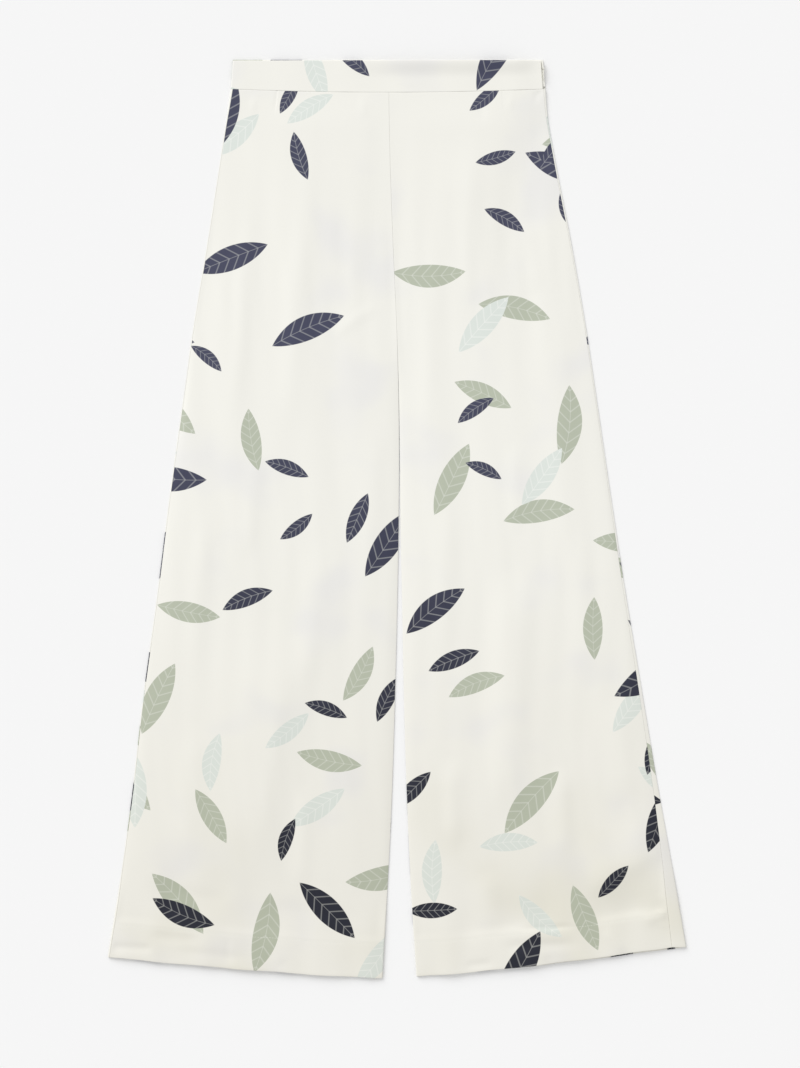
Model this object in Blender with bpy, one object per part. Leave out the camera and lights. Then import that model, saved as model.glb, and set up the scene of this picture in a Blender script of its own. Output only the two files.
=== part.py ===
"""Palazzo trousers with a fitted waistband and a concealed side zip, laid flat with the front up.

+X points to the wearer's left, +Y to the waist and +Z up, in metres. The origin is on the surface that
the trousers lie on, under the middle of their outline. The two back legs and the back of the waistband
lie on that surface, and the fronts lie on them. Each cut piece is a wall of cloth about its middle
surface, and a piece that is sewn to another stays a small seam gap away from it.
"""

import math
from collections import namedtuple

import bmesh
import bpy
import numpy as np

# Cloth
CLOTH = 0.001  # wall of a leg panel
BAND = 0.0016  # wall of the doubled waistband
SEAM = 0.0003  # gap between two pieces that are sewn or pressed together
LAYER = CLOTH + SEAM  # from one cloth layer's middle to the next
PRESSED = LAYER  # height of a front's underside where it is pressed on the back

# Waistband
BAND_TOP = 0.5269  # top of the back waistband
BACK_STANDS_PROUD = 0.002  # the back rise is cut that much higher than the front
WAIST_SEAM_Y = 0.4932  # waist seam at the sides
WAIST_SEAM_DIP = 0.0040  # how far the seam drops at the centre front
BAND_RIGHT_X = (-0.1911, -0.1889)  # the wearer's right end, at the waist seam and at the top
BAND_BACK_LEFT_X = (0.1699, 0.1671)  # the wearer's left end of the back band
BAND_FRONT_LEFT_X = (0.1667, 0.1646)  # the front band stops short there, at the zip
BAND_CROWN = 0.0010  # how far the front of the band bows up
BAND_COLUMNS = 22
BAND_ROWS = 2
BAND_EDGE = 0.0004  # rounding of the pressed edges
BAND_EDGE_SEGMENTS = 2

# Hems
TURN_UP = 0.040  # hem allowance turned to the inside
HEM_CURVE = 1.27  # a hem drops a little faster from the side seam and runs more level towards the inseam
HEM_FOLD_SEGMENTS = 5
TURN_UP_ROWS = 3

# Concealed zip in the wearer's left side seam
ZIP_TAPE = 0.0006
ZIP_WIDTH = 0.012
ZIP_INSET = 0.0005  # from the seam to the tape's edge
ZIP_TOP_Y = 0.5145
ZIP_FOOT_Y = 0.3250
ZIP_ROWS = 16
ZIP_COLUMNS = 2
ZIP_STEP = 0.018  # length over which the tape climbs from the leg onto the band
ZIP_RISE = 0.00105  # how far the closed zip lifts the front over it

# Slider and pull tab: the slider stands on the back band, beside the front band's end
PIN = (0.1677, 0.5165)  # x and y of the upright pin that the tab turns on
SLIDER_Z = (BAND + SEAM, 0.0049)
SLIDER_X = (0.1655, 0.1672)
SLIDER_Y = (0.5180, 0.5236)
EAR = 0.0005  # thickness of the two ears that hold the pin
EAR_RADIUS = 0.0009
EAR_X = (0.1660, 0.1677)
EAR_Y = (0.5165, 0.5186)
PIN_RADIUS = 0.0004
EYE_RADII = (0.0007, 0.0010)  # bore and outside of the tab's eye
TAB_LENGTH = 0.013
TAB_THICKNESS = 0.0008
TAB_NECK = 0.0007  # half width beside the ears
TAB_HALF_WIDTH = 0.0015
TAB_NECK_LENGTH = 0.0016
TAB_FLARE_END = 0.0055
ROUND_SEGMENTS = 16

# How the front cloth's height changes down a leg, in shares of the leg's length
WAIST_EASE = 0.045
ZIP_EASE = (0.19, 0.25)
HEM_EASE = (0.895, 0.950)
EDGE_EASE = 0.14  # crown and folds die away this near an edge, in shares of the width
ZIP_SIDE_EASE = (0.78, 0.90)
CROWN = 0.0011
PILLOW = 0.0022  # how far the front stands up off its pressed edges
PILLOW_REACH = 0.006  # distance from an edge over which most of that rise happens
PILLOW_GROWS = (0.04, 0.40)
PILLOW_SINKS = (0.88, 0.96)
PILLOW_AT_HEM = 0.5
LEGS_PART = (0.27, 0.35)  # from the crotch down, each leg has an inner edge of its own
EDGE_COLUMNS = (0.0, 0.012, 0.030, 0.060)
MIDDLE_COLUMNS = 10
FLAT_COLUMNS = 8
WRAP_SEGMENTS = 5
ROWS = (
    0.0, 0.012, 0.026, 0.045, 0.075, 0.11, 0.15, 0.19, 0.22, 0.25, 0.28, 0.32, 0.37, 0.42, 0.47, 0.52,
    0.57, 0.62, 0.67, 0.72, 0.77, 0.82, 0.86, 0.895, 0.915, 0.933, 0.950,
)

# The outline: a row for each section, at its share of the length from the waist seam to the hem, with the
# x of the four long edges and the width of the left side seam that has rolled round to the front.
Section = namedtuple("Section", "share right_side right_inner left_inner left_side left_roll")
SECTIONS = (
    Section(0.00, -0.1911, -0.0098, -0.0098, 0.1699, 0.0010),
    Section(0.03, -0.1956, -0.0094, -0.0094, 0.1720, 0.0012),
    Section(0.08, -0.2032, -0.0083, -0.0083, 0.1804, 0.0016),
    Section(0.18, -0.2187, -0.0046, -0.0046, 0.1995, 0.0016),
    Section(0.27, -0.2336, -0.0006, -0.0006, 0.2150, 0.0016),
    Section(0.38, -0.2492, 0.0018, 0.0024, 0.2312, 0.0018),
    Section(0.48, -0.2629, 0.0014, 0.0034, 0.2456, 0.0020),
    Section(0.59, -0.2767, -0.0006, 0.0056, 0.2622, 0.0024),
    Section(0.70, -0.2917, -0.0034, 0.0078, 0.2802, 0.0032),
    Section(0.82, -0.3055, -0.0075, 0.0117, 0.3000, 0.0056),
    Section(0.91, -0.3178, -0.0121, 0.0160, 0.3160, 0.0105),
    Section(1.00, -0.3323, -0.0172, 0.0218, 0.3312, 0.0150),
)
RIGHT_ROLL = 0.0025
HEM_SIDE_Y = {"right": -0.5028, "left": -0.4913}
HEM_INNER_Y = {"right": -0.5269, "left": -0.5246}

# The largest folds of the fronts: soft ridges, each along a straight line from its start to its end.
Fold = namedtuple("Fold", "leg start_x start_y end_x end_y half_width height")
FOLDS = (
    Fold("right", -0.099, 0.433, -0.135, 0.033, 0.024, 0.0009),
    Fold("right", -0.173, 0.373, -0.214, -0.127, 0.026, 0.0007),
    Fold("right", -0.123, -0.130, -0.186, -0.447, 0.022, 0.0024),
    Fold("right", -0.062, -0.227, -0.066, -0.487, 0.026, 0.0008),
    Fold("left", 0.084, 0.453, 0.101, 0.153, 0.026, 0.0008),
    Fold("left", 0.163, 0.293, 0.195, -0.107, 0.024, 0.0007),
    Fold("left", 0.134, -0.045, 0.126, -0.360, 0.020, 0.0018),
    Fold("left", 0.205, -0.428, 0.318, -0.367, 0.026, 0.0022),
)
FOLD_FADE = 0.3  # each end of a fold fades out over this share of it

Finish = namedtuple("Finish", "colour roughness metallic")
IVORY_SATIN = Finish((0.87, 0.87, 0.80), 0.55, 0.0)
IVORY_BAND = Finish((0.84, 0.84, 0.78), 0.55, 0.0)
IVORY_TAPE = Finish((0.80, 0.79, 0.72), 0.80, 0.0)
PAINTED_METAL = Finish((0.82, 0.81, 0.75), 0.35, 0.4)

TABLE = np.array(SECTIONS)
SLOPES = np.gradient(TABLE, TABLE[:, 0], axis=0)


def ease(value):
    """A smooth step: 0 up to value 0, and 1 from value 1."""
    value = min(max(value, 0.0), 1.0)
    return value * value * (3 - 2 * value)


def mix(first, last, share):
    return first + (last - first) * share


def section_at(share):
    """The section at any share of the length, on smooth curves through the table's rows."""
    shares = TABLE[:, 0]
    row = min(int(np.searchsorted(shares, share, side="right")) - 1, len(shares) - 2)
    span = shares[row + 1] - shares[row]
    part = (share - shares[row]) / span
    start = TABLE[row] * (1 + 2 * part) * (1 - part) ** 2 + SLOPES[row] * span * part * (1 - part) ** 2
    end = TABLE[row + 1] * part**2 * (3 - 2 * part) - SLOPES[row + 1] * span * part**2 * (1 - part)
    return Section(*(start + end))


def side_sign(leg):
    """Which way along X a leg's side seam lies from its inseam."""
    return 1 if leg == "left" else -1


def edges(leg, share):
    """A leg's section as its inner edge's x, its outermost x at the side, and its side seam's roll."""
    section = section_at(share)
    if leg == "left":
        return section.left_inner + SEAM / 2, section.left_side, section.left_roll
    return section.right_inner - SEAM / 2, section.right_side, RIGHT_ROLL


def waist_seam_y(x):
    """The waist seam, which dips towards the centre front."""
    half = (BAND_BACK_LEFT_X[0] - BAND_RIGHT_X[0]) / 2
    off_centre = (x - BAND_RIGHT_X[0] - half) / half
    return WAIST_SEAM_Y - WAIST_SEAM_DIP * (1 - off_centre**2)


def band_underside(x):
    """Height of the underside of the front waistband: just over the back, and over the zip at its end."""
    share = (x - BAND_RIGHT_X[0]) / (BAND_FRONT_LEFT_X[0] - BAND_RIGHT_X[0])
    share = min(max(share, 0.0), 1.0)
    over_back = BAND + SEAM
    over_zip = over_back + ZIP_TAPE + SEAM
    return mix(over_back, over_zip, share) + BAND_CROWN * math.sin(math.pi * share)


def fold_height(leg, x, y):
    """Height of a front's folds at a place."""
    height = 0.0
    for fold in FOLDS:
        if fold.leg != leg:
            continue
        run_x, run_y = fold.end_x - fold.start_x, fold.end_y - fold.start_y
        run = math.hypot(run_x, run_y)
        along = ((x - fold.start_x) * run_x + (y - fold.start_y) * run_y) / run**2
        aside = ((x - fold.start_x) * run_y - (y - fold.start_y) * run_x) / run
        window = ease(along / FOLD_FADE) * ease((1 - along) / FOLD_FADE)
        height += fold.height * window * math.exp(-((aside / fold.half_width) ** 2))
    return height


def pillow(leg, x, share):
    """How far a front stands up at a place: quickly off its pressed edges, and level between them."""
    inner, side, _ = edges(leg, share)
    parted = ease((share - LEGS_PART[0]) / (LEGS_PART[1] - LEGS_PART[0]))
    off_side = 1 - math.exp(-abs(side - x) / PILLOW_REACH)
    off_inner = 1 - parted * math.exp(-abs(x - inner) / PILLOW_REACH)
    grown = ease((share - PILLOW_GROWS[0]) / (PILLOW_GROWS[1] - PILLOW_GROWS[0]))
    sunk = ease((share - PILLOW_SINKS[0]) / (PILLOW_SINKS[1] - PILLOW_SINKS[0]))
    return PILLOW * off_side * off_inner * grown * mix(1, PILLOW_AT_HEM, sunk)


def edge_underside(leg, across, share):
    """Height of the underside of a leg's front without its relief, from the waist seam to the hem."""
    level = PRESSED
    if leg == "left":
        near_side = ease((across - ZIP_SIDE_EASE[0]) / (ZIP_SIDE_EASE[1] - ZIP_SIDE_EASE[0]))
        level += ZIP_RISE * near_side * ease((ZIP_EASE[1] - share) / (ZIP_EASE[1] - ZIP_EASE[0]))
    inner, side, _ = edges(leg, 0.0)
    at_band = band_underside(mix(inner, side, across)) + BAND - CLOTH
    level = mix(level, at_band, ease(1 - share / WAIST_EASE))
    return level + 2 * LAYER * ease((share - HEM_EASE[0]) / (HEM_EASE[1] - HEM_EASE[0]))


def front_underside(leg, across, share, x, y):
    """Height of the underside of a leg's front cloth, with its pillow, crown and folds."""
    near_edge = ease(across / EDGE_EASE) * ease((1 - across) / EDGE_EASE)
    relief = near_edge * (CROWN * math.sin(math.pi * across) + fold_height(leg, x, y)) + pillow(leg, x, share)
    return edge_underside(leg, across, share) + relief * (1 - ease(1 - share / WAIST_EASE))


def wrap_radius(leg, share):
    """Radius of the middle surface where the back cloth folds round the side edge to the front."""
    return edge_underside(leg, 1.0, share) / 2


def fold_centre_x(leg, share):
    """The x of the axis of the fold at the side edge."""
    return edges(leg, share)[1] - side_sign(leg) * (wrap_radius(leg, share) + CLOTH / 2)


def seam_x(leg, share):
    """The x of the side seam, which lies on the front, rolled in from the edge."""
    return fold_centre_x(leg, share) - side_sign(leg) * edges(leg, share)[2]


def length_y(leg, across, top_x, share):
    """The y at a share of the length, on the line that starts at top_x on the waist seam."""
    hem = mix(HEM_SIDE_Y[leg], HEM_INNER_Y[leg], 1 - across**HEM_CURVE)
    return mix(waist_seam_y(top_x) - SEAM / 2, hem + (LAYER + CLOTH) / 2, share)


def hem_path():
    """Down a panel, round the hem's fold and up the turn-up, as (share, past the fold line, layers in)."""
    leg_length = WAIST_SEAM_Y - HEM_SIDE_Y["right"]
    lowest = [1 - TURN_UP / leg_length * (1 - row / TURN_UP_ROWS) for row in range(TURN_UP_ROWS + 1)]
    path = [(share, 0.0, 0.0) for share in ROWS + tuple(lowest)]
    for step in range(1, HEM_FOLD_SEGMENTS):
        angle = math.pi * step / HEM_FOLD_SEGMENTS
        path.append((1.0, LAYER / 2 * math.sin(angle), LAYER / 2 * (1 - math.cos(angle))))
    path.extend((share, 0.0, LAYER) for share in reversed(lowest))
    return path


def front_grid(leg):
    """Middle surface of a front leg panel, row by row down to the hem and back up inside."""
    def across_x(across, share):
        return mix(edges(leg, share)[0], seam_x(leg, share) - side_sign(leg) * SEAM, across)

    middle = [mix(EDGE_COLUMNS[-1], 1 - EDGE_COLUMNS[-1], step / MIDDLE_COLUMNS) for step in range(MIDDLE_COLUMNS)]
    columns = [*EDGE_COLUMNS[:-1], *middle, *(1 - across for across in reversed(EDGE_COLUMNS))]
    grid = []
    for share, past, inward in hem_path():
        row = []
        for across in columns:
            x = across_x(across, share)
            y = length_y(leg, across, across_x(across, 0.0), share)
            row.append((x, y - past, front_underside(leg, across, share, x, y) + CLOTH / 2 - inward))
        grid.append(row)
    return grid


def back_section(leg, share, inward):
    """A back panel's section as (place across, x, height), some way inward of its outer layer."""
    inner = edges(leg, share)[0]
    centre = fold_centre_x(leg, share)
    radius = wrap_radius(leg, share)
    turn = radius - inward
    section = []
    for column in range(FLAT_COLUMNS):
        across = column / FLAT_COLUMNS
        section.append((across, mix(inner, centre, across), CLOTH / 2 + inward))
    for step in range(WRAP_SEGMENTS + 1):
        angle = math.pi * step / WRAP_SEGMENTS
        x = centre + side_sign(leg) * turn * math.sin(angle)
        raised = pillow(leg, x, share) * (1 - math.cos(angle)) / 2
        section.append((1.0, x, CLOTH / 2 + radius - turn * math.cos(angle) + raised))
    x = seam_x(leg, share)
    section.append((1.0, x, CLOTH / 2 + radius + turn + pillow(leg, x, share)))
    return section


def back_grid(leg):
    """Middle surface of a back leg panel: flat, then round the side edge and onto the front."""
    top_row = back_section(leg, 0.0, 0.0)
    grid = []
    for share, past, inward in hem_path():
        section = back_section(leg, share, inward)
        row = []
        for (across, x, height), (_, top_x, _) in zip(section, top_row):
            row.append((x, length_y(leg, across, top_x, share) - past, height))
        grid.append(row)
    return grid


def band_grid(left_ends, top_y, middle_height):
    """Middle surface of a waistband, from its seam up to its top edge."""
    grid = []
    for row_index in range(BAND_ROWS + 1):
        up = row_index / BAND_ROWS
        row = []
        for column in range(BAND_COLUMNS + 1):
            across = column / BAND_COLUMNS
            x = mix(mix(BAND_RIGHT_X[0], left_ends[0], across), mix(BAND_RIGHT_X[1], left_ends[1], across), up)
            row.append((x, mix(waist_seam_y(x) + SEAM / 2, top_y, up), middle_height(x)))
        grid.append(row)
    return grid


def zip_grid():
    """Middle surface of the closed zip's tapes, between the layers and up beside the band's end."""
    over_leg = CLOTH + SEAM + ZIP_TAPE / 2
    over_band = BAND + SEAM + ZIP_TAPE / 2
    waist_y = waist_seam_y(BAND_FRONT_LEFT_X[0])
    length = waist_y - length_y("left", 1.0, BAND_FRONT_LEFT_X[0], 1.0)
    grid = []
    for row_index in range(ZIP_ROWS + 1):
        y = mix(ZIP_TOP_Y, ZIP_FOOT_Y, row_index / ZIP_ROWS)
        climb = ease((y - waist_y + ZIP_STEP) / (ZIP_STEP - SEAM))
        if y > waist_y:
            edge = mix(*BAND_FRONT_LEFT_X, (y - waist_y) / (BAND_TOP - waist_y))
        else:
            edge = seam_x("left", (waist_y - y) / length)
        row = []
        for column in range(ZIP_COLUMNS + 1):
            x = edge - ZIP_INSET - ZIP_WIDTH * column / ZIP_COLUMNS
            row.append((x, y, mix(over_leg, over_band, climb)))
        grid.append(row)
    return grid


def material(name, finish):
    made = bpy.data.materials.new(name)
    made.use_nodes = True
    shader = made.node_tree.nodes["Principled BSDF"]
    shader.inputs["Base Color"].default_value = (*finish.colour, 1)
    shader.inputs["Roughness"].default_value = finish.roughness
    shader.inputs["Metallic"].default_value = finish.metallic
    return made


def add_object(name, form, finish):
    """Puts a bmesh into the scene as a named object with a material of its own."""
    mesh = bpy.data.meshes.new(name)
    form.to_mesh(mesh)
    form.free()
    piece = bpy.data.objects.new(name, mesh)
    bpy.context.scene.collection.objects.link(piece)
    mesh.materials.append(material(name, finish))
    mesh.shade_smooth()
    mesh.set_sharp_from_angle(angle=math.radians(40))
    return piece


def cloth_piece(name, grid, thickness, finish):
    """A wall of cloth about a middle surface that is given as rows of points."""
    form = bmesh.new()
    bmesh.ops.create_grid(form, x_segments=len(grid[0]) - 1, y_segments=len(grid) - 1, size=1)
    form.verts.ensure_lookup_table()
    places = [point for row in grid for point in row]
    for vertex, place in zip(form.verts, places):
        vertex.co = place
    piece = add_object(name, form, finish)
    wall = piece.modifiers.new("wall", "SOLIDIFY")
    wall.thickness = thickness
    wall.offset = 0
    wall.use_even_offset = True
    return piece


def round_edges(piece, width, segments):
    edge = piece.modifiers.new("pressed edge", "BEVEL")
    edge.width = width
    edge.segments = segments
    edge.limit_method = "ANGLE"
    edge.angle_limit = math.radians(60)


def block(low, high):
    """A box between two corners."""
    form = bmesh.new()
    bmesh.ops.create_cube(form, size=1)
    for vertex in form.verts:
        vertex.co = [mix(a, b, part + 0.5) for a, b, part in zip(low, high, vertex.co)]
    return form


def upright_rod(radius, bottom, top):
    """A round rod about the slider's pin axis."""
    form = bmesh.new()
    bmesh.ops.create_cone(
        form, cap_ends=True, segments=ROUND_SEGMENTS, radius1=radius, radius2=radius, depth=top - bottom
    )
    bmesh.ops.translate(form, verts=form.verts, vec=(*PIN, (bottom + top) / 2))
    return form


def combine(piece, name, form, operation):
    """Joins a helper shape to a piece, or cuts it away, with a Boolean."""
    helper = add_object(name, form, PAINTED_METAL)
    helper.hide_render = True
    helper.display_type = "WIRE"
    change = piece.modifiers.new(name, "BOOLEAN")
    change.operation = operation
    change.object = helper
    change.solver = "EXACT"


def build_slider():
    """The slider's block, with two ears that hold the upright pin."""
    low, high = SLIDER_Z
    slider = add_object(
        "zip_slider", block((SLIDER_X[0], SLIDER_Y[0], low), (SLIDER_X[1], SLIDER_Y[1], high)), PAINTED_METAL
    )
    for name, bottom, top in (("lower", low, low + EAR), ("upper", high - EAR, high)):
        arm = block((EAR_X[0], EAR_Y[0], bottom), (EAR_X[1], EAR_Y[1], top))
        combine(slider, f"{name}_ear_arm", arm, "UNION")
        combine(slider, f"{name}_ear", upright_rod(EAR_RADIUS, bottom, top), "UNION")
    combine(slider, "pin", upright_rod(PIN_RADIUS, low + EAR / 2, high - EAR / 2), "UNION")


def tab_outline():
    """Half widths of the teardrop tab at lengths down from the pin, round at its end."""
    outline = [(EYE_RADII[0], TAB_NECK), (TAB_NECK_LENGTH, TAB_NECK), (TAB_FLARE_END, TAB_HALF_WIDTH)]
    round_start = TAB_LENGTH - TAB_HALF_WIDTH
    steps = ROUND_SEGMENTS // 4
    for step in range(steps):
        angle = math.pi / 2 * step / steps
        down = round_start + TAB_HALF_WIDTH * math.sin(angle)
        outline.append((down, TAB_HALF_WIDTH * math.cos(angle)))
    return outline


def build_pull():
    """The teardrop tab, which stands on edge beside the band and turns outwards on the slider's pin."""
    x, y = PIN
    middle = sum(SLIDER_Z) / 2
    outline = tab_outline()
    around = [(y - down, middle + half) for down, half in outline]
    around.append((y - TAB_LENGTH, middle))
    around.extend((y - down, middle - half) for down, half in reversed(outline))
    form = bmesh.new()
    face = form.faces.new([form.verts.new((x - TAB_THICKNESS / 2, *point)) for point in around])
    grown = bmesh.ops.extrude_face_region(form, geom=[face])["geom"]
    moved = [item for item in grown if isinstance(item, bmesh.types.BMVert)]
    bmesh.ops.translate(form, verts=moved, vec=(TAB_THICKNESS, 0, 0))
    bmesh.ops.recalc_face_normals(form, faces=form.faces)
    pull = add_object("zip_pull", form, PAINTED_METAL)
    bore, outside = EYE_RADII
    combine(pull, "eye", upright_rod(outside, middle - TAB_NECK, middle + TAB_NECK), "UNION")
    combine(pull, "eye_bore", upright_rod(bore, middle - TAB_HALF_WIDTH, middle + TAB_HALF_WIDTH), "DIFFERENCE")


def main():
    for item in list(bpy.data.objects):
        bpy.data.objects.remove(item)
    for leg in ("right", "left"):
        cloth_piece(f"back_leg_{leg}", back_grid(leg), CLOTH, IVORY_SATIN)
        cloth_piece(f"front_leg_{leg}", front_grid(leg), CLOTH, IVORY_SATIN)
    back_band = band_grid(BAND_BACK_LEFT_X, BAND_TOP, lambda x: BAND / 2)
    front_band = band_grid(
        BAND_FRONT_LEFT_X, BAND_TOP - BACK_STANDS_PROUD, lambda x: band_underside(x) + BAND / 2
    )
    for name, grid in (("waistband_back", back_band), ("waistband_front", front_band)):
        round_edges(cloth_piece(name, grid, BAND, IVORY_BAND), BAND_EDGE, BAND_EDGE_SEGMENTS)
    cloth_piece("side_zip", zip_grid(), ZIP_TAPE, IVORY_TAPE)
    build_slider()
    build_pull()


main()
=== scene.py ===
"""Wide-legged trousers in printed satin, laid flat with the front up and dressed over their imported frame.

+X points to the wearer's left, +Y to the waist and +Z up, in metres. The backs lie on the surface and the
fronts lie on them. Each cut piece is a thin shell of satin on the form that its solid has in the frame.
"""

import logging
import math
from dataclasses import dataclass
from enum import Enum
from typing import Any

import bmesh
import bpy
import numpy as np
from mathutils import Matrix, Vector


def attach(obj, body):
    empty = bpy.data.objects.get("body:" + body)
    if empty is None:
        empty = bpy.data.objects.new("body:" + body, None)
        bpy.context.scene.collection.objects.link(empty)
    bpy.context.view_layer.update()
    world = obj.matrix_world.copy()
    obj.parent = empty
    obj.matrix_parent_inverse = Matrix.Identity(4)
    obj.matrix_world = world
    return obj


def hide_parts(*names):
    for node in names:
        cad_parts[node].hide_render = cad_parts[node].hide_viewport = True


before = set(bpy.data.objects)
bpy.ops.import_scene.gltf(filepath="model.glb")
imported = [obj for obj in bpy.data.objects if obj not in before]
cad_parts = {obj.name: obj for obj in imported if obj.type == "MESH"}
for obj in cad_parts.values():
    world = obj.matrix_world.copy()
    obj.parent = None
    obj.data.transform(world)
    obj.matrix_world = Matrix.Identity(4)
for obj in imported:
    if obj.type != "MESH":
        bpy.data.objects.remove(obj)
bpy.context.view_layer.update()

log = logging.getLogger("trousers")

Array = np.ndarray
Colour = tuple[float, float, float]
Point = tuple[float, float]

GARMENT = "garment"
PULL_TAB = "pull_tab"
CUT_MAP = "cut"


# --- Form -----------------------------------------------------------------------------------------------


def ease(value: Array | float) -> Array:
    """A smooth step.

    Args:
        value: 0 where the step starts and 1 where it ends.

    Returns:
        0 before the step and 1 after it.
    """
    held = np.clip(value, 0.0, 1.0)
    return held * held * (3 - 2 * held)


def ease_over(value: Array | float, span: Point) -> Array:
    """A smooth step from 0 at a span's start to 1 at its end."""
    return ease((value - span[0]) / (span[1] - span[0]))


def mix(first: Array | float, last: Array | float, share: Array | float) -> Array | float:
    """The value at a share of the way from first to last."""
    return first + (last - first) * share


def curl(along: Array, radius: Array | float) -> tuple[Array, Array]:
    """How cloth lies that turns down into a seam through a quarter circle.

    Args:
        along: distance along the cloth from its edge.
        radius: radius of the quarter circle.

    Returns:
        How far in from the edge each point lies, and how far it is below the level cloth.
    """
    angle = np.minimum(along / radius, math.pi / 2)
    level = np.maximum(along - radius * math.pi / 2, 0.0)
    return radius * (1 - np.cos(angle)) + level, radius * (1 - np.sin(angle))


class Leg(Enum):
    """A leg of the trousers, named for the wearer's side."""

    RIGHT = "right"
    LEFT = "left"

    @property
    def outwards(self) -> int:
        """Which way along X the leg's side seam lies from its inseam."""
        return 1 if self is Leg.LEFT else -1


class Face(Enum):
    """The front or the back of the trousers."""

    FRONT = "front"
    BACK = "back"


@dataclass(frozen=True)
class Section:
    """The outline at a share of the length from the waist seam to the hem.

    The x of the four long edges, and the width of the left side seam that has rolled round to the front.
    """

    share: float
    right_side: float
    right_inner: float
    left_inner: float
    left_side: float
    left_roll: float


OUTLINE = (
    Section(0.00, -0.1911, -0.0098, -0.0098, 0.1699, 0.0007),
    Section(0.03, -0.1956, -0.0094, -0.0094, 0.1720, 0.0007),
    Section(0.08, -0.2032, -0.0083, -0.0083, 0.1804, 0.0007),
    Section(0.18, -0.2187, -0.0046, -0.0046, 0.1995, 0.0008),
    Section(0.27, -0.2336, -0.0006, -0.0006, 0.2150, 0.0008),
    Section(0.38, -0.2492, 0.0018, 0.0024, 0.2312, 0.0009),
    Section(0.48, -0.2629, 0.0014, 0.0034, 0.2456, 0.0011),
    Section(0.59, -0.2767, -0.0006, 0.0056, 0.2622, 0.0017),
    Section(0.70, -0.2917, -0.0034, 0.0078, 0.2802, 0.0029),
    Section(0.82, -0.3055, -0.0075, 0.0117, 0.3000, 0.0056),
    Section(0.91, -0.3178, -0.0121, 0.0160, 0.3160, 0.0105),
    Section(1.00, -0.3323, -0.0172, 0.0218, 0.3312, 0.0150),
)


@dataclass(frozen=True)
class Crease:
    """A soft ridge, or a trough where its height is negative, along a line that may bow sideways."""

    start: Point
    end: Point
    half_width: float
    height: float
    bow: float = 0.0
    gentler: float = 0.0  # how much wider its right flank is, seen from its start
    fade: float = 0.3  # share of the length over which each end dies away

    def rise(self, x: Array, y: Array) -> Array:
        """The crease's height at some places.

        Args:
            x: places along X.
            y: places along Y.

        Returns:
            Heights above the cloth without the crease.
        """
        run_x, run_y = self.end[0] - self.start[0], self.end[1] - self.start[1]
        run = math.hypot(run_x, run_y)
        from_x, from_y = x - self.start[0], y - self.start[1]
        along = (from_x * run_x + from_y * run_y) / run**2
        aside = (from_x * run_y - from_y * run_x) / run - self.bow * 4 * along * (1 - along)
        width = self.half_width * np.where(aside > 0, 1 + self.gentler, 1.0)
        window = ease(along / self.fade) * ease((1 - along) / self.fade)
        return self.height * window * np.exp(-((aside / width) ** 2))


@dataclass(frozen=True)
class Ripple:
    """One set of faint lengthwise ripples, stronger and weaker by turns down the leg."""

    spacing: float
    height: float
    slant: float
    phase: float
    beat: float

    def rise(self, x: Array, y: Array) -> Array:
        """The ripples' height at some places."""
        wave = np.sin(2 * math.pi * (x + self.slant * y) / self.spacing + self.phase)
        strength = 0.5 + 0.5 * np.sin(2 * math.pi * y / self.beat + 1.7 * self.phase)
        return self.height * wave * strength


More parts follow.
